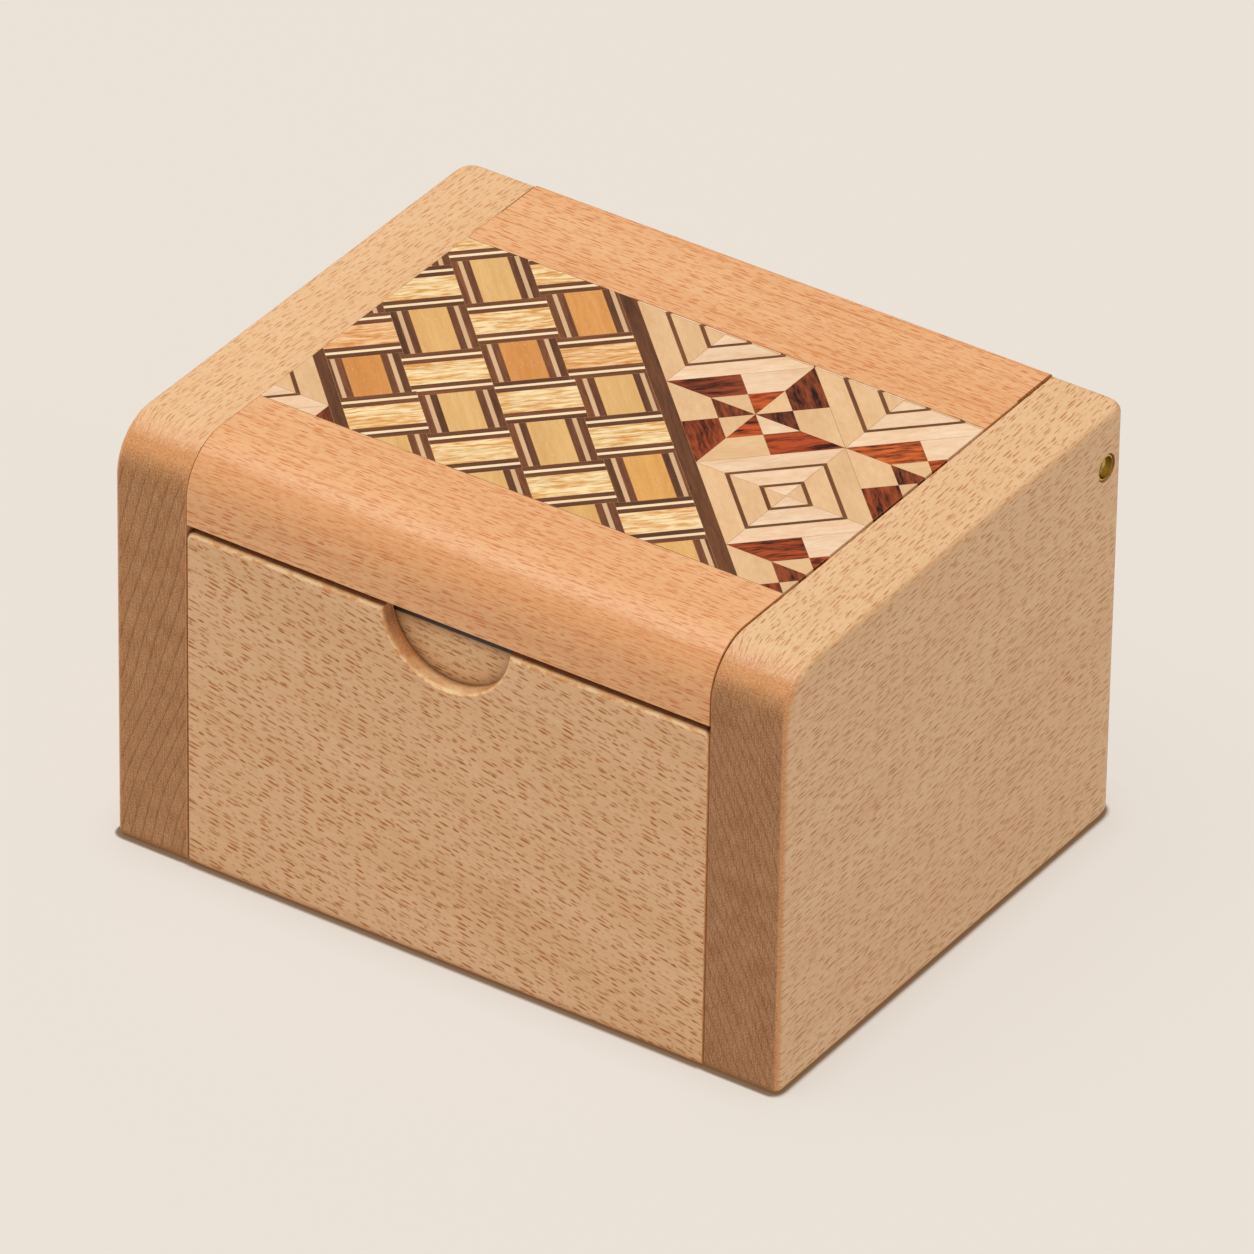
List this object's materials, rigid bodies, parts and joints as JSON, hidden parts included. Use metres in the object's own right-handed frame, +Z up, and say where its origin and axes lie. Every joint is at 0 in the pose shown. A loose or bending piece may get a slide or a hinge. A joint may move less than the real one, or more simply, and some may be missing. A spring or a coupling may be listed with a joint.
{
  "type": "wooden puzzle box",
  "caption": "Small hardwood box with bullnose sides, a pinned lid with diagonal marquetry, a sliding front panel with a thumb notch, and a hidden sliding lock bar.",
  "frame": {"origin": "middle of the footprint, on the surface that the box stands on", "axes": "+X to the right as seen from the front, +Y to the back where the hinge is, +Z up"},
  "size_m": [0.11, 0.085, 0.0676],
  "materials": {
    "side_beech": "satin oiled beech",
    "back_beech": "satin oiled beech",
    "inner_beech": "plain sanded beech",
    "panel_beech": "satin oiled beech with dense ray flecks",
    "lid_beech": "satin oiled pink beech",
    "pin_brass": "turned brass",
    "catch_brass": "brushed brass",
    "stud_walnut": "waxed walnut",
    "weave_veneer": "satin woods of several colours",
    "tile_veneer": "satin maple and rosewood",
    "divider_walnut": "satin walnut"
  },
  "bodies": {
    "carcass": {"side_board_left": "side_beech", "side_board_right": "side_beech", "bottom_board": "inner_beech", "back_board": "back_beech", "inner_front_board": "inner_beech", "lock_channel": "inner_beech", "panel_stop_pin": "inner_beech", "hinge_pin_left": "pin_brass", "hinge_pin_right": "pin_brass"},
    "lid": {"lid_board": "lid_beech", "lid_catch": "catch_brass", "catch_screw_front": "catch_brass", "catch_screw_back": "catch_brass", "weave_sheet": "weave_veneer", "tile_sheet_right": "tile_veneer", "tile_sheet_left": "tile_veneer", "divider_band_right": "divider_walnut", "divider_band_left": "divider_walnut"},
    "panel": {"front_panel": "panel_beech", "panel_key_left": "inner_beech", "panel_key_right": "inner_beech"},
    "bar": {"lock_bar": "inner_beech", "finger_stud": "stud_walnut"}
  },
  "joints": [
    {"name": "lid_hinge", "type": "hinge", "parent": "carcass", "child": "lid", "pos_m": [0, 0.0373, 0.0592], "axis": [-1, 0, 0], "range_deg": [0, 95]},
    {"name": "panel_slide", "type": "slide", "parent": "carcass", "child": "panel", "axis": [0, 0, -1], "range_m": [0, 0.006]},
    {"name": "bar_slide", "type": "slide", "parent": "carcass", "child": "bar", "axis": [1, 0, 0], "range_m": [0, 0.006]}
  ]
}
